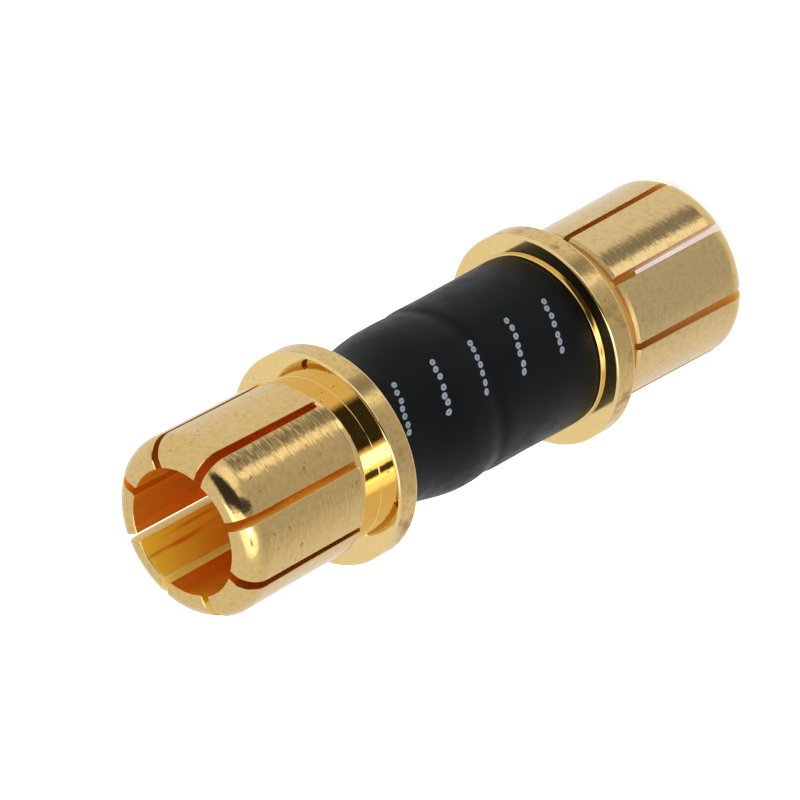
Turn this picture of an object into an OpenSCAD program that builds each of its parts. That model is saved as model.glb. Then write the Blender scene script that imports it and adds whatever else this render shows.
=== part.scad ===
// Double-ended bullet adapter for a battery lead: two gold-plated split collets
// soldered back to back on a short stranded conductor, under one shrunk sleeve.
// It stands on the nose of the lower contact, with its axis along +Z and the
// origin at the centre of that nose.

/* [Adapter] */
// Length from nose to nose
overall_l = 31; // [30:0.1:36]
// Gap between the two flanges, which the sleeve fills
flange_gap = 12.5; // [12:0.1:14]
// Turn of the lower contact's slots against the upper contact's
lower_turn = 22; // [0:1:45]

/* [Collet] */
// Diameter over the petals
collet_d = 8; // [7.8:0.05:8.2]
// Diameter of the bore between the petals
bore_d = 5.5; // [5:0.1:6]
// Number of petals, an even number
petals = 8; // [4:2:12]
// Length of the petals from the nose to the neck
petal_l = 7; // [5:0.1:7.6]
// Width of each slot between two petals
slot_w = 0.32; // [0.2:0.02:0.6]
// Radius of the rounded nose
nose_r = 1.1; // [0.8:0.05:1.15]
// Depth of the bore past the ends of the slots
bore_past = 0.55; // [0.2:0.05:1]
// Depth of the drill point at the bottom of the bore
bore_cone = 0.7; // [0.3:0.05:1]
// Broken edge at the mouth of the bore
bore_edge = 0.06; // [0.02:0.01:0.1]
// Width of the flat ring at the front of the nose
nose_flat = 0.45; // [0.3:0.05:0.5]
// Broken edge where the petals step down to the neck
petal_edge = 0.12; // [0.05:0.01:0.2]

/* [Neck and flange] */
// Diameter of the neck between petals and flange
neck_d = 7.5; // [7:0.05:7.6]
// Diameter of the flange
flange_d = 9.65; // [9:0.05:11]
// Thickness of the flange
flange_t = 1.1; // [0.8:0.05:1.2]
// Broken edges of the flange
flange_edge = 0.1; // [0.05:0.01:0.2]
// Height of the raised ring that the sleeve butts against
ring_h = 0.15; // [0.1:0.05:0.3]

/* [Solder cup] */
// Outer diameter at the cup's mouth
cup_d = 6.8; // [6.4:0.1:7]
// Diameter of the thinner stem beside the flange
stem_d = 6.3; // [6:0.1:6.4]
// Length of the wide part at the mouth
cup_wide_l = 1.95; // [1.5:0.05:2.5]
// Length of the taper from the wide part to the stem
cup_taper_l = 1.2; // [0.8:0.05:1.5]
// Bore of the cup
cup_bore_d = 5.2; // [4.8:0.1:5.6]
// Depth of the cup's bore
cup_depth = 4.6; // [3.5:0.1:4.8]
// Gap between the mouths of the two cups
cup_gap = 1.3; // [0.8:0.1:2]

/* [Conductor] */
// Diameter of the stranded copper bundle
wire_d = 4.4; // [3.6:0.1:4.8]
// Fall of the solder's surface from the cup's wall to the copper
solder_dish = 0.3; // [0.1:0.05:0.5]

/* [Sleeve] */
// Diameter at the lower flange
sleeve_d = 7.84; // [7.7:0.02:7.94]
// Diameter at the waist, a soft crease over the gap between the cups
waist_d = 7.64; // [7.5:0.02:7.8]
// Distance of the waist below the adapter's middle
waist_drop = 0.15; // [0:0.05:0.5]
// Length over which the tube drops into the waist from below
waist_fall = 1.1; // [0.6:0.1:3]
// Length over which the tube rises out of the waist above
waist_rise = 1; // [0.6:0.1:1.5]
// Diameter of the swelling over the upper cup's mouth
swell_d = 7.84; // [7.7:0.02:7.94]
// Diameter at the upper flange
sleeve_top_d = 7.16; // [7:0.02:7.4]
// Height above the waist at which the swelling starts to narrow
narrow_start = 1.7; // [1.5:0.1:2]
// Height above the waist at which the narrowing ends
narrow_end = 4.2; // [4:0.1:5]

/* [Hidden] */
$fn = 96;

half_l = overall_l / 2;
flange_back = flange_gap / 2;
flange_front = flange_back + flange_t;
slot_end = half_l - petal_l;
bore_end = slot_end - bore_past;
cup_mouth = cup_gap / 2;
cup_end = cup_mouth + cup_depth;
stem_start = cup_mouth + cup_wide_l + cup_taper_l;
sleeve_end = flange_back - ring_h;
sleeve_steps = 36;
// How far a cutting shape runs past what it cuts
past = 1;

// Plated gold, bare copper, solder and black polyolefin
gold = [0.86, 0.69, 0.36];
copper = [0.76, 0.42, 0.25];
tin = [0.72, 0.73, 0.74];
black = [0.11, 0.12, 0.12];

// A quarter wave that leaves level, and a half wave that leaves and lands level
function rise(t) = sin(90 * min(1, t));
function ease(t) = (1 - cos(180 * max(0, min(1, t)))) / 2;

// Diameter of the sleeve at height h over the waist, which is negative below it
function sleeve_below(h) = waist_d + (sleeve_d - waist_d) * rise(-h / waist_fall);
function sleeve_above(h) =
    waist_d + (swell_d - waist_d) * rise(h / waist_rise)
    - (swell_d - sleeve_top_d) * ease((h - narrow_start) / (narrow_end - narrow_start));
function sleeve_r(h) = (h < 0 ? sleeve_below(h) : sleeve_above(h)) / 2;

// Outline of the turned blank, from the cup's mouth at the bottom to the nose
module blank_outline() {
    collet_r = collet_d / 2;
    polygon([
        [0, cup_mouth],
        [cup_d / 2, cup_mouth],
        [cup_d / 2, cup_mouth + cup_wide_l],
        [stem_d / 2, stem_start],
        [stem_d / 2, sleeve_end],
        [collet_r, sleeve_end],
        [collet_r, flange_back],
        [flange_d / 2 - flange_edge, flange_back],
        [flange_d / 2, flange_back + flange_edge],
        [flange_d / 2, flange_front - flange_edge],
        [flange_d / 2 - flange_edge, flange_front],
        [neck_d / 2, flange_front],
        [neck_d / 2, slot_end],
        [collet_r - petal_edge, slot_end],
        [collet_r, slot_end + petal_edge],
        [collet_r, half_l],
        [0, half_l]
    ]);
}

// What the rounded nose takes off the blank, as far in as the flat ring
module nose_corner() {
    reach = bore_d / 2 + nose_flat - (collet_d / 2 - nose_r);
    translate([collet_d / 2 - nose_r, half_l - sqrt(nose_r * nose_r - reach * reach)])
        difference() {
            square([nose_r + past, nose_r + past]);
            circle(r = nose_r);
        }
}

// Drilled bore of the collet, with a broken edge and a shallow drill point
module bore_outline() {
    polygon([
        [0, bore_end - bore_cone],
        [bore_d / 2, bore_end],
        [bore_d / 2, half_l - bore_edge],
        [bore_d / 2 + bore_edge, half_l],
        [bore_d / 2 + bore_edge, half_l + past],
        [0, half_l + past]
    ]);
}

// Saw cuts right across the collet, each of which opens two slots
module slots() {
    for (i = [0 : petals / 2 - 1])
        rotate([0, 0, i * 360 / petals])
            translate([-collet_d / 2 - past, -slot_w / 2, slot_end])
                cube([collet_d + 2 * past, slot_w, petal_l + past]);
}

// One contact, with its nose up and the middle of the adapter at z = 0
module contact() {
    difference() {
        rotate_extrude()
            difference() {
                blank_outline();
                nose_corner();
                bore_outline();
                translate([0, cup_mouth - past])
                    square([cup_bore_d / 2, cup_depth + past]);
            }
        slots();
    }
}

// Solder round the copper in one cup, dished at the mouth
module solder() {
    rotate_extrude()
        polygon([
            [wire_d / 2, cup_end],
            [cup_bore_d / 2, cup_end],
            [cup_bore_d / 2, cup_mouth],
            [wire_d / 2, cup_mouth + solder_dish]
        ]);
}

// Puts a sub-part on the upper or the lower half of the adapter
module upper_half() {
    translate([0, 0, half_l]) children();
}

module lower_half() {
    translate([0, 0, half_l]) rotate([0, 0, lower_turn]) rotate([180, 0, 0]) children();
}

module upper_contact() {
    color(gold) upper_half() contact();
}

module lower_contact() {
    color(gold) lower_half() contact();
}

module conductor() {
    color(copper) upper_half() cylinder(d = wire_d, h = 2 * cup_end, center = true);
}

module upper_solder() {
    color(tin) upper_half() solder();
}

module lower_solder() {
    color(tin) lower_half() solder();
}

// The tube follows the cups: full at the lower flange, a waist over the gap,
// a step up onto the upper cup's mouth and a narrowing onto its stem
module heat_shrink_sleeve() {
    step = 2 * sleeve_end / sleeve_steps;
    color(black) upper_half() rotate_extrude()
        polygon([
            for (i = [0 : sleeve_steps]) let (y = i * step - sleeve_end)
                [sleeve_r(y + waist_drop), y],
            [stem_d / 2, sleeve_end],
            [stem_d / 2, stem_start],
            [cup_d / 2, cup_mouth + cup_wide_l],
            [cup_d / 2, -sleeve_end]
        ]);
}

upper_contact();
lower_contact();
conductor();
upper_solder();
lower_solder();
heat_shrink_sleeve();
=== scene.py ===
"""Looks of a short double-ended bullet adapter: two gold-plated split collets back to back
under one black shrink tube. The model is in metres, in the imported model's frame. Sizes of
the turned parts and the tube are in millimetres, at heights from the adapter's middle."""
import math

import bmesh
import bpy
from mathutils import Matrix, Vector


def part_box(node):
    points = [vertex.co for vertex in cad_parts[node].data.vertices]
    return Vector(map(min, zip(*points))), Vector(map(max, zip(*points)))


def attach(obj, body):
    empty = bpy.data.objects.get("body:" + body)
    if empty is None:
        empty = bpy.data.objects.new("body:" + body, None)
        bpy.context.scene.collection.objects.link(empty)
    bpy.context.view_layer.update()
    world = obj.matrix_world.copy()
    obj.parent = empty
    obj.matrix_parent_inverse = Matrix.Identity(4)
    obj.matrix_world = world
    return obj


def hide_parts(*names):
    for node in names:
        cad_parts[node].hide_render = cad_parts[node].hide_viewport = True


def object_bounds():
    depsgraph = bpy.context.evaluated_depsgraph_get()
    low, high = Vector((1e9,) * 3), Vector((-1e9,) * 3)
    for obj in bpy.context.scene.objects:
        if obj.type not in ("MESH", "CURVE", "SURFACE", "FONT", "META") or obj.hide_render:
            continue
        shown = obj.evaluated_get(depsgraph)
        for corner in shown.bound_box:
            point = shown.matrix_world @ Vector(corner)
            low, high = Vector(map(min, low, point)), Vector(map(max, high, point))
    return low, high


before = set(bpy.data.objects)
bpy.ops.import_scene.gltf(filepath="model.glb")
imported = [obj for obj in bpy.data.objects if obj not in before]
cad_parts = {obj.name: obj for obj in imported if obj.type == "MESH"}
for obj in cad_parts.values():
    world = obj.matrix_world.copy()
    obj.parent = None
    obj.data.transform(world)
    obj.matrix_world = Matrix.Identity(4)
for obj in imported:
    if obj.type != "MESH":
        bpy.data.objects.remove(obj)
cad_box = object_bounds()

MM = 0.001
CENTRE = (cad_box[0] + cad_box[1]) / 2

# The camera looks down on the standing part through a long lens, from half a metre away, and
# is rolled so that the part lies across the picture.
AZIMUTH, ELEVATION, ROLL = (math.radians(a) for a in (14.2, 39.3, -118.6))
DISTANCE = 531.5 * MM
LENS = 566.0
SENSOR_WIDTH = 36
AIM_RIGHT, AIM_UP = 1.46 * MM, 0.22 * MM
# Compass angle, from +X, of the side of the part that faces the camera
FACING = AZIMUTH - math.pi / 2

# Turned contact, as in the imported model: radii, then lengths and heights along the axis
PETALS = 8
COLLET_R = 4.0
BORE_R = 2.75
NECK_R = 3.75
RING_R = 4.0
FLANGE_R = (cad_box[1].y - CENTRE.y) / MM
CUP_R, CUP_BORE_R, STEM_R = 3.4, 2.6, 3.15
RING_T, FLANGE_T, PETAL_L = 0.15, 1.1, 7.0
NOSE = (cad_box[1].z - CENTRE.z) / MM
SLEEVE_END = (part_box("heat_shrink_sleeve")[1].z - CENTRE.z) / MM
FLANGE_BACK = SLEEVE_END + RING_T
FLANGE_FRONT = FLANGE_BACK + FLANGE_T
SLOT_END = NOSE - PETAL_L
BORE_END, DRILL_POINT = SLOT_END - 0.55, SLOT_END - 1.25
# The cup's mouth, the end of its wide part, the start of its stem and its floor
CUP_MOUTH, CUP_WIDE, CUP_STEM, CUP_END = 0.65, 2.6, 3.8, 5.25
SLOT_W = 0.32
LOWER_TURN = math.radians(22)

# Edges of the contact: the nose's round, its flat ring and the bore's edge there, then the
# petals' foot, the flange, the fillet under it and the ring that the tube meets
NOSE_R, NOSE_FLAT, BORE_EDGE = 1.1, 0.45, 0.06
PETAL_EDGE, FLANGE_EDGE, NECK_FILLET, RING_EDGE = 0.12, 0.1, 0.03, 0.04
# Size of the broken edges at the slots
SLOT_EDGE = 0.02
# Distance from a rounded edge to the extra ring that keeps the shading of the flat beside it true
GUARD = 0.02
# Fall of a slot's floor from the neck to the bore, where the saw ran out
SLOT_FALL = 0.3

# How far the tip of each petal stands out, counted round from the first slot
UPPER_SPLAY = (0.1, 0.05, 0.02, 0.06, 0.13, 0.1, 0.1, 0.14)
LOWER_SPLAY = (0.08, 0.11, 0.08, 0.1, 0.07, 0.08, 0.11, 0.08)
# Share of that which is a straight lean from the petal's foot. The rest is its bend.
LEAN = 0.6

# Columns of faces across one petal, and rows along its straight part
COLUMNS = 18
ROWS = 10
# Edges that turn by more than these angles are shaded sharp
SHARP_METAL, SHARP_TUBE = math.radians(35), math.radians(50)


def arc(centre, radius, start, end, steps):
    """Points of an arc in the (radius, height) plane, with its angles in degrees."""
    angles = [math.radians(start + (end - start) * i / steps) for i in range(steps + 1)]
    return [(centre[0] + radius * math.cos(a), centre[1] + radius * math.sin(a)) for a in angles]


def smooth_step(low, high, value):
    """Rises smoothly from 0 at low to 1 at high."""
    t = min(1, max(0, (value - low) / (high - low)))
    return t * t * (3 - 2 * t)


# ---------------------------------------------------------------- contacts

ZONES = ["turned", "foot", "nose", "polished", "neck", "rim", "bore", "inside", "slot"]


def body_outline():
    """Outline of the body from the cup's floor round the flange to the top of the neck.
    Each point carries the zone of the band that follows it."""
    cup = [(CUP_BORE_R, CUP_END), (CUP_BORE_R, CUP_MOUTH), (CUP_R, CUP_MOUTH), (CUP_R, CUP_WIDE),
           (STEM_R, CUP_STEM)]
    ring = [(STEM_R, SLEEVE_END)]
    ring += arc((RING_R - RING_EDGE, SLEEVE_END + RING_EDGE), RING_EDGE, -90, 0, 3)
    ring += [(RING_R, FLANGE_BACK)]
    rim_r = FLANGE_R - FLANGE_EDGE
    back_h, front_h = FLANGE_BACK + FLANGE_EDGE, FLANGE_FRONT - FLANGE_EDGE
    back = [(rim_r - GUARD, FLANGE_BACK)] + arc((rim_r, back_h), FLANGE_EDGE, -90, -15, 4)
    rim = [(FLANGE_R, back_h), (FLANGE_R, back_h + GUARD), (FLANGE_R, front_h - GUARD)]
    fillet_r, fillet_h = NECK_R + NECK_FILLET, FLANGE_FRONT + NECK_FILLET
    front = arc((rim_r, front_h), FLANGE_EDGE, 0, 90, 5)
    front += [(rim_r - GUARD, FLANGE_FRONT), (fillet_r + GUARD, FLANGE_FRONT)]
    front += arc((fillet_r, fillet_h), NECK_FILLET, 270, 180, 4)
    neck = [(NECK_R, fillet_h + GUARD), (NECK_R, SLOT_END)]
    parts = [(cup, "bore"), (ring + back, "polished"), (rim, "rim"), (front, "polished"),
             (neck, "neck")]
    return [(r, h, zone) for points, zone in parts for r, h in points]


def petal_outline():
    """Outer outline of a petal from the top of the neck to the flat ring at the nose."""
    flat_r = BORE_R + NOSE_FLAT
    reach = flat_r - (COLLET_R - NOSE_R)
    nose_h = NOSE - math.sqrt(NOSE_R ** 2 - reach ** 2)
    foot_h = SLOT_END + PETAL_EDGE
    foot = [(NECK_R, SLOT_END), (COLLET_R - PETAL_EDGE, SLOT_END)]
    straight = [(COLLET_R, foot_h + (nose_h - foot_h) * i / ROWS) for i in range(ROWS)]
    straight += [(COLLET_R, nose_h - GUARD)]
    end = math.degrees(math.acos(reach / NOSE_R))
    rounded = arc((COLLET_R - NOSE_R, nose_h), NOSE_R, 0, end, 12)
    return foot + straight + rounded + [(flat_r - GUARD, NOSE)]


def bore_outline(outer):
    """Inner outline of a petal, with as many points as the outer one has from its foot up."""
    rounded = arc((BORE_R + BORE_EDGE, NOSE - BORE_EDGE), BORE_EDGE, 180, 90, 3)
    top = [(BORE_R, NOSE - BORE_EDGE - GUARD)] + rounded + [(BORE_R + BORE_EDGE + GUARD, NOSE)]
    return [(BORE_R, h) for _, h in outer[2:-len(top)]] + top


def outward(outline, side):
    """Directions out of the metal at the points of an outline that rises, where side is 1 for
    an outer outline and -1 for an inner one."""
    ends = zip([outline[0]] + outline[:-1], outline[1:] + [outline[-1]])
    along = [Vector((b[0] - a[0], b[1] - a[1])).normalized() for a, b in ends]
    return [(side * t.y, -side * t.x) for t in along]


def column_angles(radius):
    """Angles of all columns round the contact at a radius, clear of the slots."""
    clear = math.asin(SLOT_W / 2 / radius)
    edge = clear + SLOT_EDGE / radius
    pitch = 2 * math.pi / PETALS
    step = (pitch - 2 * edge) / (COLUMNS - 2)
    across = [clear] + [edge + step * i for i in range(COLUMNS - 1)] + [pitch - clear]
    return [k * pitch + a for k in range(PETALS) for a in across]


def splayed(radius, angle, height, petal, splay):
    """Place of a petal's point once the petal is bent outward as a whole."""
    t = max(0, (height - SLOT_END) / (NOSE - SLOT_END))
    out = splay[petal] * t * (LEAN + (1 - LEAN) * t)
    middle = (petal + 0.5) * 2 * math.pi / PETALS
    return (radius * math.cos(angle) + out * math.cos(middle),
            radius * math.sin(angle) + out * math.sin(middle), height)


class ContactMesh:
    """One contact, nose up, as a closed mesh in millimetres with its zones as materials.
    Every ring has the same columns, counted round from the first slot."""

    per_petal = COLUMNS + 1
    total = PETALS * per_petal

    def __init__(self, splay):
        self.mesh = bmesh.new()
        self.splay = splay

    def ring(self, radius, height, spread):
        """A whole ring, with the columns' angles of the radius that spread gives."""
        return [self.mesh.verts.new((radius * math.cos(a), radius * math.sin(a), height))
                for a in column_angles(spread)]

    def petal_ring(self, radius, height, out=(0, 0)):
        """A ring cut by the slots, where its edges are broken back along a direction."""
        edge_r, edge_h = radius - out[0] * SLOT_EDGE, height - out[1] * SLOT_EDGE
        verts = []
        for c, (a, edge_a) in enumerate(zip(column_angles(radius), column_angles(edge_r))):
            at_slot = c % self.per_petal in (0, COLUMNS)
            place = (edge_r, edge_a, edge_h) if at_slot else (radius, a, height)
            verts.append(self.mesh.verts.new(splayed(*place, c // self.per_petal, self.splay)))
        return verts

    def face(self, corners, zone):
        made = self.mesh.faces.new(corners)
        made.material_index = ZONES.index(zone)
        made.smooth = True

    def band(self, low, high, zone, whole):
        """Faces between two rings, right round or with the slots left open."""
        for c in range(self.total):
            if whole or c % self.per_petal != COLUMNS:
                n = (c + 1) % self.total
                self.face((low[c], low[n], high[n], high[c]), zone)

    def cone(self, ring, height):
        """Closes a ring with faces that meet on the axis at a height."""
        point = self.mesh.verts.new((0, 0, height))
        for c in range(self.total):
            self.face((ring[c], ring[(c + 1) % self.total], point), "bore")

    def add_body(self):
        """Adds cup, ring, flange and neck, and returns the ring at the top of the neck."""
        rows = body_outline()
        rings = [self.ring(r, h, NECK_R) for r, h, _ in rows]
        for low, high, row in zip(rings, rings[1:], rows):
            self.band(low, high, row[2], True)
        self.cone(rings[0], CUP_END)
        return rings[-1]

    def add_bore(self):
        """Adds the bore below the slots with its drill point, and returns its top ring."""
        top = self.ring(BORE_R, SLOT_END - SLOT_FALL, BORE_R)
        bottom = self.ring(BORE_R, BORE_END, BORE_R)
        self.band(top, bottom, "bore", True)
        self.cone(bottom, DRILL_POINT)
        return top

    def add_petals(self, neck_top, bore_top):
        """Adds the petals' skins, open at the slots, and returns their outer and inner rings."""
        outline = petal_outline()
        inside = bore_outline(outline)
        outer = [neck_top, self.petal_ring(*outline[1])]
        outer += [self.petal_ring(*at, out) for at, out in zip(outline[2:], outward(outline, 1)[2:])]
        inner = [bore_top]
        inner += [self.petal_ring(*at, out) for at, out in zip(inside, outward(inside, -1))]
        for j in range(len(outline) - 1):
            zone = "foot" if j < 2 else "nose" if outline[j][1] > NOSE - NOSE_R else "turned"
            self.band(outer[j], outer[j + 1], zone, False)
        for j in range(len(inside)):
            zone = "nose" if inside[j][1] > NOSE - BORE_EDGE / 3 else "inside"
            self.band(inner[j], inner[j + 1], zone, False)
        self.band(outer[-1], inner[-1], "nose", False)
        return outer, inner

    def add_slots(self, outer, inner):
        """Adds the slots' walls and floors. The inner rings have no row for the petal's foot."""
        for k in range(PETALS):
            last = k * self.per_petal + COLUMNS
            first = (k + 1) * self.per_petal % self.total
            for c in (k * self.per_petal, last):
                self.face((outer[0][c], outer[1][c], outer[2][c], inner[1][c], inner[0][c]), "slot")
                for j in range(2, len(outer) - 1):
                    corners = (outer[j][c], outer[j + 1][c], inner[j][c], inner[j - 1][c])
                    self.face(corners, "slot")
            self.face((outer[0][last], outer[0][first], inner[0][first], inner[0][last]), "slot")

    def finished(self, name):
        bmesh.ops.recalc_face_normals(self.mesh, faces=self.mesh.faces)
        data = bpy.data.meshes.new(name)
        self.mesh.to_mesh(data)
        self.mesh.free()
        data.set_sharp_from_angle(angle=SHARP_METAL)
        return data


def add_contact(name, node, upper, turn, splay, materials):
    """Builds one contact in its place, with each petal bent outward by its own amount."""
    contact = ContactMesh(splay)
    neck_top = contact.add_body()
    bore_top = contact.add_bore()
    contact.add_slots(*contact.add_petals(neck_top, bore_top))
    data = contact.finished(name)
    flip = Matrix.Identity(4) if upper else Matrix.Rotation(math.pi, 4, "X")
    data.transform(Matrix.Translation(CENTRE) @ Matrix.Rotation(turn, 4, "Z") @ flip
                   @ Matrix.Scale(MM, 4))
    for zone in ZONES:
        data.materials.append(materials[zone])
    piece = bpy.data.objects.new(name, data)
    bpy.context.scene.collection.objects.link(piece)
    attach(piece, "root")
    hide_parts(node)


# ---------------------------------------------------------------- sleeve

# Tube's radius over the lower cup and on the upper stem
TUBE_R = 3.91
TUBE_TOP_R = 3.58
TUBE_COLUMNS, TUBE_ROWS, TUBE_EDGE = 160, 96, 0.08
# Soft crease over the gap between the cups: its depth, its reach below and above, and how it
# tilts and wanders round the tube
CREASE, CREASE_BELOW, CREASE_ABOVE = 0.075, 0.32, 0.5
CREASE_TILT, CREASE_WANDER = 0.2, 0.12
# Swelling over the upper cup's mouth: how far it stands out on its own side, the height in
# which it rises there, and that side, seen from the axis
BULGE, BULGE_RISE = 0.035, 0.9
BULGE_SIDE = FACING - math.radians(92)
# Narrowing onto the upper stem: its height, its tilt and its reach below and above
SHOULDER, SHOULDER_TILT = 3.05, 0.42
NARROW_BELOW, NARROW_ABOVE = 1.55, 1.35
# Shallow hand-made unevenness, slow and quick
SLOW_UNEVEN, QUICK_UNEVEN = 0.012, 0.006
# Long soft folds beside the narrowing: compass angle, slant to the axis and depth of each, with
# their width as an angle and the height where they sit on that compass angle
FOLDS = ((FACING + 1.15, 0.05, 0.035), (FACING - 1.1, -0.04, 0.03))
FOLD_WIDTH, FOLD_HEIGHT = 0.16, 2


def tube_radius(angle, height):
    """Radius of the shrunk tube: full over the lower cup, a soft crease over the gap, a
    lopsided swelling over the upper cup's mouth and a narrowing onto its stem."""
    lean = math.cos(angle - BULGE_SIDE)
    gap = height + CREASE_TILT * lean - CREASE_WANDER * math.sin(3 * angle + 1)
    reach = CREASE_BELOW if gap < 0 else CREASE_ABOVE
    radius = TUBE_R - CREASE * math.exp(-(gap / reach) ** 2)
    radius += BULGE * lean * smooth_step(0, BULGE_RISE, gap)
    shoulder = SHOULDER - SHOULDER_TILT * lean
    narrow = smooth_step(shoulder - NARROW_BELOW, shoulder + NARROW_ABOVE, height)
    radius -= (radius - TUBE_TOP_R) * narrow
    radius += SLOW_UNEVEN * math.sin(2 * angle + 0.7) * math.sin(0.9 * height + 0.5)
    radius += QUICK_UNEVEN * math.sin(5 * angle + 1.9 * height)
    for side, slant, depth in FOLDS:
        across = math.remainder(angle - side - slant * (height - FOLD_HEIGHT), 2 * math.pi)
        beside = 2 * narrow * (1 - narrow)
        radius += depth * beside * math.exp(-(across / FOLD_WIDTH) ** 2)
    return radius


def sleeve_mesh():
    """The tube as a closed mesh in millimetres: outer skin, cut ends and the bore over the cups."""
    mesh = bmesh.new()

    def ring(height, radius_at):
        angles = [2 * math.pi * c / TUBE_COLUMNS for c in range(TUBE_COLUMNS)]
        return [mesh.verts.new((radius_at(a) * math.cos(a), radius_at(a) * math.sin(a), height))
                for a in angles]

    rings = []
    for i in range(TUBE_ROWS + 1):
        h = SLEEVE_END * (2 * i / TUBE_ROWS - 1)
        edge = max(0, TUBE_EDGE - (SLEEVE_END - abs(h)))
        drop = TUBE_EDGE - math.sqrt(max(0, TUBE_EDGE ** 2 - edge ** 2))
        rings.append(ring(h, lambda a: tube_radius(a, h) - drop))
    inside = [(STEM_R, SLEEVE_END), (STEM_R, CUP_STEM), (CUP_R, CUP_WIDE), (CUP_R, -SLEEVE_END)]
    rings += [ring(h, lambda a: r) for r, h in inside]
    for low, high in zip(rings, rings[1:] + rings[:1]):
        for c in range(TUBE_COLUMNS):
            n = (c + 1) % TUBE_COLUMNS
            mesh.faces.new((low[c], low[n], high[n], high[c])).smooth = True
    bmesh.ops.recalc_face_normals(mesh, faces=mesh.faces)
    data = bpy.data.meshes.new("sleeve")
    mesh.to_mesh(data)
    mesh.free()
    return data


def add_sleeve(material):
    """Builds the shrunk tube in its place."""
    data = sleeve_mesh()
    data.transform(Matrix.Translation(CENTRE) @ Matrix.Scale(MM, 4))
    data.set_sharp_from_angle(angle=SHARP_TUBE)
    data.materials.append(material)
    piece = bpy.data.objects.new("sleeve", data)
    bpy.context.scene.collection.objects.link(piece)
    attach(piece, "root")
    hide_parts("heat_shrink_sleeve")


# ---------------------------------------------------------------- shader nodes

class Nodes:
    """Short calls for building a node tree. Numbers and sockets are both taken as inputs."""

    def __init__(self, tree):
        self.tree = tree

    def add(self, kind, output, inputs=(), **settings):
        node = self.tree.nodes.new(kind)
        for key, value in settings.items():
            setattr(node, key, value)
        for key, value in dict(inputs).items():
            self.feed(node.inputs[key], value)
        return node.outputs[output]

    def feed(self, socket, value):
        if isinstance(value, bpy.types.NodeSocket):
            self.tree.links.new(value, socket)
        else:
            socket.default_value = value

    def math(self, operation, *values):
        return self.add("ShaderNodeMath", 0, enumerate(values), operation=operation)

    def vector(self, operation, *values):
        return self.add("ShaderNodeVectorMath", 0, enumerate(values), operation=operation)

    def dot(self, first, second):
        return self.add("ShaderNodeVectorMath", "Value", {0: first, 1: second},
                        operation="DOT_PRODUCT")

    def length(self, vector):
        return self.add("ShaderNodeVectorMath", "Value", {0: vector}, operation="LENGTH")

    def combined(self, x, y):
        return self.add("ShaderNodeCombineXYZ", 0, {0: x, 1: y})

    def noise(self, place, scale, detail=2.0, roughness=0.5):
        return self.add("ShaderNodeTexNoise", "Fac", {
            "Vector": place, "Scale": scale, "Detail": detail, "Roughness": roughness})

    def ramp(self, value, low, high, to_low=0.0, to_high=1.0):
        """Carries a value smoothly from one range to another, and holds it at the ends."""
        return self.add("ShaderNodeMapRange", 0, {
            "Value": value, "From Min": low, "From Max": high, "To Min": to_low,
            "To Max": to_high}, interpolation_type="SMOOTHSTEP")

    def mix(self, factor, first, second):
        node = self.tree.nodes.new("ShaderNodeMix")
        node.data_type = "RGBA"
        self.feed(node.inputs["Factor"], factor)
        self.feed(node.inputs[6], first)
        self.feed(node.inputs[7], second)
        return node.outputs[2]

    def bump(self, height, distance):
        return self.add("ShaderNodeBump", "Normal", {
            "Height": height, "Distance": distance, "Strength": 1.0})

    def place(self):
        return self.add("ShaderNodeTexCoord", "Object")

    def stretched(self, place, scale):
        return self.vector("MULTIPLY", place, scale)


def new_material(name):
    material = bpy.data.materials.new(name)
    material.use_nodes = True
    tree = material.node_tree
    return material, Nodes(tree), tree.nodes["Principled BSDF"]


# ---------------------------------------------------------------- materials

GOLD_SATIN = (0.74, 0.52, 0.21, 1)
GOLD_WORN = (0.74, 0.54, 0.25, 1)
GOLD_BRIGHT = (0.86, 0.64, 0.28, 1)
# Painted glow: a deep orange, far redder than the plating, standing in for light bouncing round
# inside the bore
GOLD_DEEP_PAINTED_GLOW = (0.96, 0.42, 0.03, 1)
# Painted glow: a red-orange standing in for light bouncing round inside the slots
GOLD_RED_PAINTED_GLOW = (0.98, 0.55, 0.07, 1)
# Painted shade: a darker orange for the lower contact's slots
GOLD_DARK_PAINTED_SHADE = (0.86, 0.5, 0.1, 1)
# Painted light: a yellow gold for the inner side of the petals where light falls in
GOLD_YELLOW_PAINTED_LIT = (1.0, 0.66, 0.05, 1)
# Painted light: a pale gold for the slot walls where light falls through
GOLD_PALE_PAINTED_LIT = (0.97, 0.80, 0.27, 1)
# Painted shade: a brown gold for the lower contact's neck, sunk between its flange and petals
GOLD_BROWN_PAINTED_SHADE = (0.72, 0.43, 0.13, 1)
GOLD_DULL = (0.43, 0.26, 0.085, 1)
TARNISH = (0.20, 0.10, 0.025, 1)
TUBE_BLACK = (0.003, 0.0036, 0.004, 1)
TUBE_FADED = (0.006, 0.007, 0.0075, 1)
INK = (0.30, 0.36, 0.42, 1)
SOLDER_DULL = (0.48, 0.49, 0.51, 1)
SOLDER_BRIGHT = (0.66, 0.67, 0.68, 1)
COPPER_DARK = (0.55, 0.22, 0.10, 1)
COPPER_BRIGHT = (0.80, 0.42, 0.24, 1)
MICROMETRE = 1e-6
# How much rougher the gold is where its plating is fully dull
DULL_ROUGHER = 0.25


def tarnished_spots(nodes, place):
    """Mask of small spots that come in loose groups."""
    spot = nodes.noise(place, 5200, 1, 0.4)
    group = nodes.noise(place, 900, 1, 0.5)
    return nodes.math("MULTIPLY", nodes.ramp(spot, 0.68, 0.75), nodes.ramp(group, 0.5, 0.6))


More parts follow.
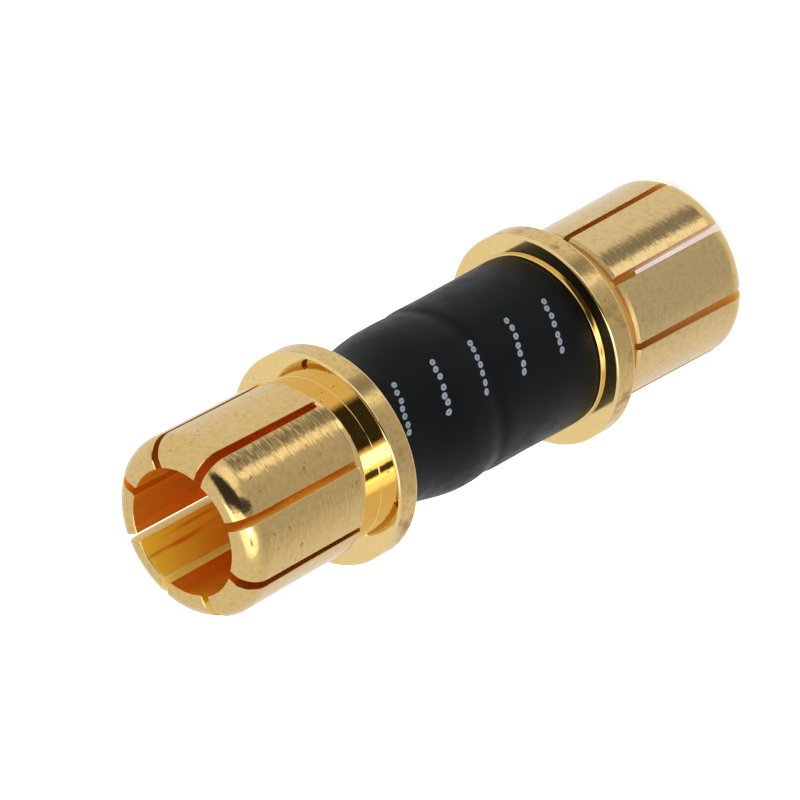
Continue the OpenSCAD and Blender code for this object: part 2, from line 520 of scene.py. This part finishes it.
def painted_light_stripes(nodes, place, sides):
    """Mask of painted light on the sides of the part where light falls, broken by stripes along
    the axis that stand in for streaked reflections. Each side is a compass angle from +X and a
    spread in degrees."""
    stripe = nodes.noise(nodes.stretched(place, (900, 900, 70)), 1, 3, 0.6)
    out = nodes.vector("NORMALIZE", nodes.vector("MULTIPLY", place, (1, 1, 0)))
    sector = 0.0
    for side, spread in sides:
        middle = (math.cos(math.radians(side)), math.sin(math.radians(side)), 0)
        edge = math.cos(math.radians(spread))
        near = nodes.ramp(nodes.dot(out, middle), edge - 0.03, edge + 0.03)
        sector = nodes.math("MAXIMUM", sector, near)
    return nodes.math("MULTIPLY", nodes.ramp(stripe, 0.38, 0.5), sector)


def gold(name, colour, roughness, marks=0.0, mark_scale=(350, 350, 7000), mark_detail=3.0,
         grain=0.0, waves=0.0, mottle=0.2, patches=0.0, specks=0.1, metallic=1.0,
         painted_lit_colour=GOLD_PALE_PAINTED_LIT, painted_lit_metallic=1.0, painted_lit_sides=()):
    """Gold plate over turned brass. marks is the depth in micrometres of the cutter's rings,
    grain that of the fine unevenness under the plating and waves that of the slow one. mottle
    and patches are how much the plating dulls in small and in large areas, and specks how
    strong its tarnished spots are. The last three arguments paint light: on the sides they list,
    the gold takes their colour and metallic value, which stand in for light falling there."""
    material, nodes, shader = new_material(name)
    shader.inputs["Specular IOR Level"].default_value = 0
    place = nodes.place()
    fine = nodes.noise(place, 4200, 3, 0.6)
    broad = nodes.noise(place, 800, 3, 0.6)
    rings = nodes.noise(nodes.stretched(place, mark_scale), 1, mark_detail, 0.65)
    small = nodes.math("MULTIPLY", nodes.ramp(fine, 0.35, 0.8), mottle)
    large = nodes.math("MULTIPLY", nodes.ramp(broad, 0.5, 0.7), patches)
    dull = nodes.math("MAXIMUM", small, large)
    speck = nodes.math("MULTIPLY", tarnished_spots(nodes, place), specks)
    # Painted light: on the listed sides the gold turns to the lit colour and metallic value, broken
    # by stripes
    bright = painted_light_stripes(nodes, place, painted_lit_sides)
    tint = nodes.mix(dull, nodes.mix(bright, colour, painted_lit_colour), GOLD_DULL)
    rough = nodes.ramp(dull, 0, 1, roughness, roughness + DULL_ROUGHER)
    height = nodes.math("ADD", nodes.math("MULTIPLY", rings, marks),
                        nodes.math("MULTIPLY", fine, grain))
    height = nodes.math("ADD", height, nodes.math("MULTIPLY", broad, waves))
    nodes.feed(shader.inputs["Base Color"], nodes.mix(speck, tint, TARNISH))
    nodes.feed(shader.inputs["Metallic"], nodes.ramp(bright, 0, 1, metallic, painted_lit_metallic))
    nodes.feed(shader.inputs["Roughness"], rough)
    nodes.feed(shader.inputs["Normal"], nodes.bump(height, MICROMETRE))
    return material


def new_finishes():
    """The upper contact's finish in each zone."""
    finishes = {
        "turned": gold("gold_turned", GOLD_SATIN, 0.08, marks=22, mark_scale=(1100, 1100, 7500),
                       mark_detail=1.0, grain=1.0, waves=6, mottle=0.35, specks=0.7),
        "nose": gold("gold_nose", GOLD_SATIN, 0.12, marks=4, mark_scale=(1300, 1300, 9000),
                     mark_detail=1.0, grain=6, waves=12, mottle=0.35, specks=0.6),
        "polished": gold("gold_polished", GOLD_BRIGHT, 0.04, marks=0.3, waves=5, mottle=0.08,
                         specks=0.8),
        "rim": gold("gold_rim", GOLD_SATIN, 0.17, marks=2, grain=3, mottle=0.5, patches=1.0,
                    specks=0.6),
        # Painted glow: the bore and the petals' inner walls are a deep orange, partly diffuse gold
        # that stands in for light bouncing round inside them
        "bore": gold("gold_bore", GOLD_DEEP_PAINTED_GLOW, 0.25, marks=7, mottle=0.1, specks=0.3,
                     metallic=0.75),
        # Painted light: one inner side of the petals is a yellow, nearly diffuse gold, where light
        # falls in
        "inside": gold("gold_inside", GOLD_DEEP_PAINTED_GLOW, 0.25, marks=7, mottle=0.1, specks=0.3,
                       metallic=0.75, painted_lit_colour=GOLD_YELLOW_PAINTED_LIT, painted_lit_metallic=0.2,
                       painted_lit_sides=[(112, 22)]),
        # Painted glow and light: the slot walls are a red-orange, partly diffuse gold, paler on the
        # sides where light falls through
        "slot": gold("gold_slot", GOLD_RED_PAINTED_GLOW, 0.3, mottle=0.05, painted_lit_metallic=0.4,
                     painted_lit_sides=[(135, 55), (-90, 10)]),
    }
    finishes["neck"] = finishes["polished"]
    finishes["foot"] = finishes["turned"]
    return finishes


def worn_and_shaded_finishes(finishes):
    """The lower contact's finishes: some zones rougher from wear than the upper one's, and its slots
    and neck darker as painted shade.
    """
    wear_and_shade = dict(finishes)
    wear_and_shade["turned"] = gold("gold_turned_worn", GOLD_WORN, 0.12, marks=14, mark_detail=1.0,
                          mark_scale=(1600, 1600, 5500), grain=4, mottle=0.35, specks=0.4)
    wear_and_shade["polished"] = gold("gold_polished_worn", GOLD_BRIGHT, 0.1, marks=0.3, mottle=0.1)
    # Painted shade: the lower contact's slots are a darker orange than the upper one's
    wear_and_shade["slot"] = gold("gold_slot_painted_shade", GOLD_DARK_PAINTED_SHADE, 0.4, mottle=0.1)
    wear_and_shade["foot"] = gold("gold_foot_worn", GOLD_WORN, 0.45, metallic=0.6)
    # Painted shade: the lower contact's neck is a browner, less metallic gold than the upper one's
    # polished neck
    wear_and_shade["neck"] = gold("gold_neck_painted_shade", GOLD_BROWN_PAINTED_SHADE, 0.38, marks=1, mottle=0.1, metallic=0.65)
    return wear_and_shade


# Print on the tube, in millimetres: a dot's radius and pitch, the pitch and slant of the
# strokes, how many strokes and dots stand on each side of the middle one, where that is from
# the side that faces the camera, and how far dots stray
DOT_R, DOT_PITCH = 0.14, 0.37
STROKE_PITCH, SLANT = 2.3, 0.25
SIDE_STROKES, SIDE_DOTS = 2, 3
PRINT_TURN, PRINT_RISE = 0.04, 0.2
STRAY = 0.12


def nearest(nodes, value, pitch):
    """Number of the step nearest to a value, and how far the value lies past it."""
    step = nodes.math("ROUND", nodes.math("DIVIDE", value, pitch))
    return step, nodes.math("SUBTRACT", value, nodes.math("MULTIPLY", step, pitch))


def printed_dots(nodes, place):
    """Mask of the print: a few slanted strokes of small ring-shaped ink dots in one band."""
    split = nodes.tree.nodes.new("ShaderNodeSeparateXYZ")
    nodes.feed(split.inputs[0], place)
    x, y, z = split.outputs
    turn = nodes.math("SUBTRACT", nodes.math("ARCTAN2", y, x), FACING + PRINT_TURN)
    across = nodes.math("MULTIPLY", turn, TUBE_R)
    along = nodes.math("SUBTRACT", nodes.math("MULTIPLY", z, 1 / MM), CENTRE.z / MM + PRINT_RISE)
    slanted = nodes.math("ADD", along, nodes.math("MULTIPLY", across, SLANT))
    stroke, u = nearest(nodes, slanted, STROKE_PITCH)
    dot, v = nearest(nodes, across, DOT_PITCH)
    in_strokes = nodes.math("LESS_THAN", nodes.math("ABSOLUTE", stroke), SIDE_STROKES + 0.5)
    in_dots = nodes.math("LESS_THAN", nodes.math("ABSOLUTE", dot), SIDE_DOTS + 0.5)
    key = nodes.combined(stroke, dot)
    chance = nodes.add("ShaderNodeTexWhiteNoise", "Color", {"Vector": key})
    stray = nodes.vector("SUBTRACT", chance, (0.5, 0.5, 0.5))
    stray = nodes.vector("MULTIPLY", stray, (STRAY, STRAY, 0))
    reach = nodes.length(nodes.vector("ADD", nodes.combined(u, v), stray))
    ragged = nodes.math("ADD", reach, nodes.math("MULTIPLY", nodes.noise(place, 6000, 2), 0.05))
    disc = nodes.ramp(ragged, DOT_R + 0.01, DOT_R + 0.045, 1, 0)
    hollow = nodes.ramp(ragged, 0.05, 0.1, 0.45, 1)
    band = nodes.math("MULTIPLY", in_strokes, in_dots)
    return nodes.math("MULTIPLY", nodes.math("MULTIPLY", disc, hollow), band)


def shrink_tube():
    """Satin black polyolefin with a soft grain and slanted strokes of printed dots."""
    material, nodes, shader = new_material("shrink_tube")
    shader.inputs["Specular IOR Level"].default_value = 0.1
    place = nodes.place()
    grain = nodes.noise(place, 1500, 4, 0.6)
    cloud = nodes.noise(place, 300, 2, 0.5)
    black = nodes.mix(cloud, TUBE_BLACK, TUBE_FADED)
    tint = nodes.mix(printed_dots(nodes, place), black, INK)
    nodes.feed(shader.inputs["Base Color"], tint)
    nodes.feed(shader.inputs["Roughness"], nodes.ramp(grain, 0.3, 0.7, 0.34, 0.46))
    nodes.feed(shader.inputs["Normal"], nodes.bump(grain, 2 * MICROMETRE))
    return material


def solder_alloy():
    """Frosted grey solder."""
    material, nodes, shader = new_material("solder_alloy")
    shader.inputs["Metallic"].default_value = 1
    frost = nodes.noise(nodes.place(), 1800, 4, 0.6)
    nodes.feed(shader.inputs["Base Color"], nodes.mix(frost, SOLDER_DULL, SOLDER_BRIGHT))
    nodes.feed(shader.inputs["Roughness"], nodes.ramp(frost, 0.3, 0.7, 0.25, 0.45))
    return material


def copper_strands():
    """Fine strands laid along the bundle, as streaks in colour and height."""
    material, nodes, shader = new_material("copper_strands")
    shader.inputs["Metallic"].default_value = 1
    shader.inputs["Roughness"].default_value = 0.35
    streaks = nodes.noise(nodes.stretched(nodes.place(), (6000, 6000, 500)), 1, 2, 0.5)
    nodes.feed(shader.inputs["Base Color"], nodes.mix(streaks, COPPER_DARK, COPPER_BRIGHT))
    nodes.feed(shader.inputs["Normal"], nodes.bump(streaks, 40 * MICROMETRE))
    return material


def paint(node, material):
    """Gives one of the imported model's own solids a material."""
    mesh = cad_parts[node].data
    mesh.materials.clear()
    mesh.materials.append(material)


# ---------------------------------------------------------------- studio

def add_camera():
    """Places the camera from its three angles, its distance and how far off centre it aims."""
    back = Vector((math.sin(AZIMUTH) * math.cos(ELEVATION),
                   -math.cos(AZIMUTH) * math.cos(ELEVATION),
                   math.sin(ELEVATION)))
    level = Vector((math.cos(AZIMUTH), math.sin(AZIMUTH), 0))
    upright = back.cross(level)
    right = math.cos(ROLL) * level + math.sin(ROLL) * upright
    up = math.cos(ROLL) * upright - math.sin(ROLL) * level
    camera = bpy.data.objects.new("camera", bpy.data.cameras.new("camera"))
    bpy.context.scene.collection.objects.link(camera)
    camera.data.sensor_width = SENSOR_WIDTH
    camera.data.lens = LENS
    camera.data.clip_start = 10 * MM
    camera.data.clip_end = 10
    camera.matrix_world = Matrix((right, up, back)).transposed().to_4x4()
    camera.location = CENTRE + back * DISTANCE - right * AIM_RIGHT - up * AIM_UP
    bpy.context.scene.camera = camera


FLOOR_HALF = 600 * MM
FLOOR_PALE, FLOOR_PALER = (0.90, 0.90, 0.90, 1), (0.92, 0.92, 0.92, 1)
# Light that the floor adds where it is seen, which makes it white and keeps the shadow
FLOOR_LIFT = 0.6


def seen_white(nodes):
    """1 where the camera sees a surface, straight or in metal or glass, and 0 elsewhere."""
    path = nodes.tree.nodes.new("ShaderNodeLightPath")
    seen = nodes.math("MAXIMUM", path.outputs["Is Camera Ray"], path.outputs["Is Glossy Ray"])
    return nodes.math("MAXIMUM", seen, path.outputs["Is Transmission Ray"])


def floor_material():
    """White with a faint mottle, and a lift where it is seen."""
    material, nodes, shader = new_material("floor")
    tree = nodes.tree
    tree.nodes.remove(shader)
    mottle = nodes.noise(nodes.place(), 40, 2)
    diffuse = nodes.add("ShaderNodeBsdfDiffuse", 0, {
        "Color": nodes.mix(mottle, FLOOR_PALE, FLOOR_PALER)})
    lift = nodes.add("ShaderNodeEmission", 0, {
        "Strength": nodes.math("MULTIPLY", seen_white(nodes), FLOOR_LIFT)})
    both = nodes.add("ShaderNodeAddShader", 0, {0: diffuse, 1: lift})
    nodes.feed(tree.nodes["Material Output"].inputs["Surface"], both)
    return material


def add_floor():
    """A white floor that keeps a soft shadow. The metal mirrors the studio and not the floor."""
    half = FLOOR_HALF
    corners = [(-half, -half, 0), (half, -half, 0), (half, half, 0), (-half, half, 0)]
    mesh = bpy.data.meshes.new("floor")
    mesh.from_pydata(corners, [], [(0, 1, 2, 3)])
    mesh.materials.append(floor_material())
    floor = bpy.data.objects.new("floor", mesh)
    bpy.context.scene.collection.objects.link(floor)
    floor.visible_glossy = False


# Studio round the part: soft patches on a plain white, each at an angle right of the camera
# and a height in degrees, with its half width, half height, softness and brightness.
WHITE = 0.9
PATCHES = [
    ("table in front", -22, -30, 48, 34, 0.5, 0.56),
    ("low lamp", 30, 8, 15, 26, 0.35, 1.3),
    ("camera and its stand", -8, 24, 10, 36, 0.2, 0.06),
    ("open room above it", 12, 56, 29, 30, 0.12, 0.04),
    ("gap under the table's edge", 44, -39, 9, 9, 0.5, 0.28),
    ("spill of the low lamp", 26, -41, 5, 12, 0.4, 1.3),
    ("high lamp", -48, 45, 21, 34, 0.2, 1.9),
    ("its bright middle", -34, 40, 6, 11, 0.3, 7.0),
    ("rib beside it", -53, 38, 4, 4, 0.3, 0.08),
    ("slit past the rib", -62, 38, 1.5, 12, 0.3, 2.6),
    ("lamp overhead", -115, 84.6, 14, 5, 0.25, 2.8),
]


def patch_mask(nodes, way, across, height, half_w, half_h, soft):
    """1 inside one soft oval patch of the studio and 0 outside it."""
    turn, rise = FACING + math.radians(across), math.radians(height)
    out = (math.cos(turn) * math.cos(rise), math.sin(turn) * math.cos(rise), math.sin(rise))
    level = (-math.sin(turn), math.cos(turn), 0)
    upright = (-math.cos(turn) * math.sin(rise), -math.sin(turn) * math.sin(rise),
               math.cos(rise))
    u = nodes.math("DIVIDE", nodes.dot(way, level), math.sin(math.radians(half_w)))
    v = nodes.math("DIVIDE", nodes.dot(way, upright), math.sin(math.radians(half_h)))
    squares = nodes.math("ADD", nodes.math("POWER", u, 2), nodes.math("POWER", v, 2))
    oval = nodes.ramp(nodes.math("SQRT", squares), 1 - soft, 1 + soft, 1, 0)
    this_side = nodes.math("GREATER_THAN", nodes.dot(way, out), 0)
    return nodes.math("MULTIPLY", oval, this_side)


def blended(nodes, first, second, mask):
    """One brightness where the mask is 0 and another where it is 1."""
    step = nodes.math("MULTIPLY", nodes.math("SUBTRACT", second, first), mask)
    return nodes.math("ADD", first, step)


def light_studio():
    """Lights the part from the world alone. The camera itself sees plain white past the floor."""
    world = bpy.data.worlds.new("studio")
    bpy.context.scene.world = world
    world.use_nodes = True
    nodes = Nodes(world.node_tree)
    way = nodes.vector("NORMALIZE", nodes.add("ShaderNodeTexCoord", "Generated"))
    light = WHITE
    for name, *shape, brightness in PATCHES:
        light = blended(nodes, light, brightness, patch_mask(nodes, way, *shape))
        light.node.label = name
    camera_ray = nodes.add("ShaderNodeLightPath", "Is Camera Ray")
    light = blended(nodes, light, 1, camera_ray)
    background = world.node_tree.nodes["Background"]
    background.inputs["Color"].default_value = (1, 1, 1, 1)
    nodes.feed(background.inputs["Strength"], light)


# ---------------------------------------------------------------- scene

bpy.context.scene.view_settings.view_transform = "Standard"
add_camera()
upper_finishes = new_finishes()
lower_finishes = worn_and_shaded_finishes(upper_finishes)
add_contact("upper_collet", "upper_contact", True, 0, UPPER_SPLAY, upper_finishes)
add_contact("lower_collet", "lower_contact", False, LOWER_TURN, LOWER_SPLAY, lower_finishes)
add_sleeve(shrink_tube())
paint("conductor", copper_strands())
solder = solder_alloy()
paint("upper_solder", solder)
paint("lower_solder", solder)
add_floor()
light_studio()
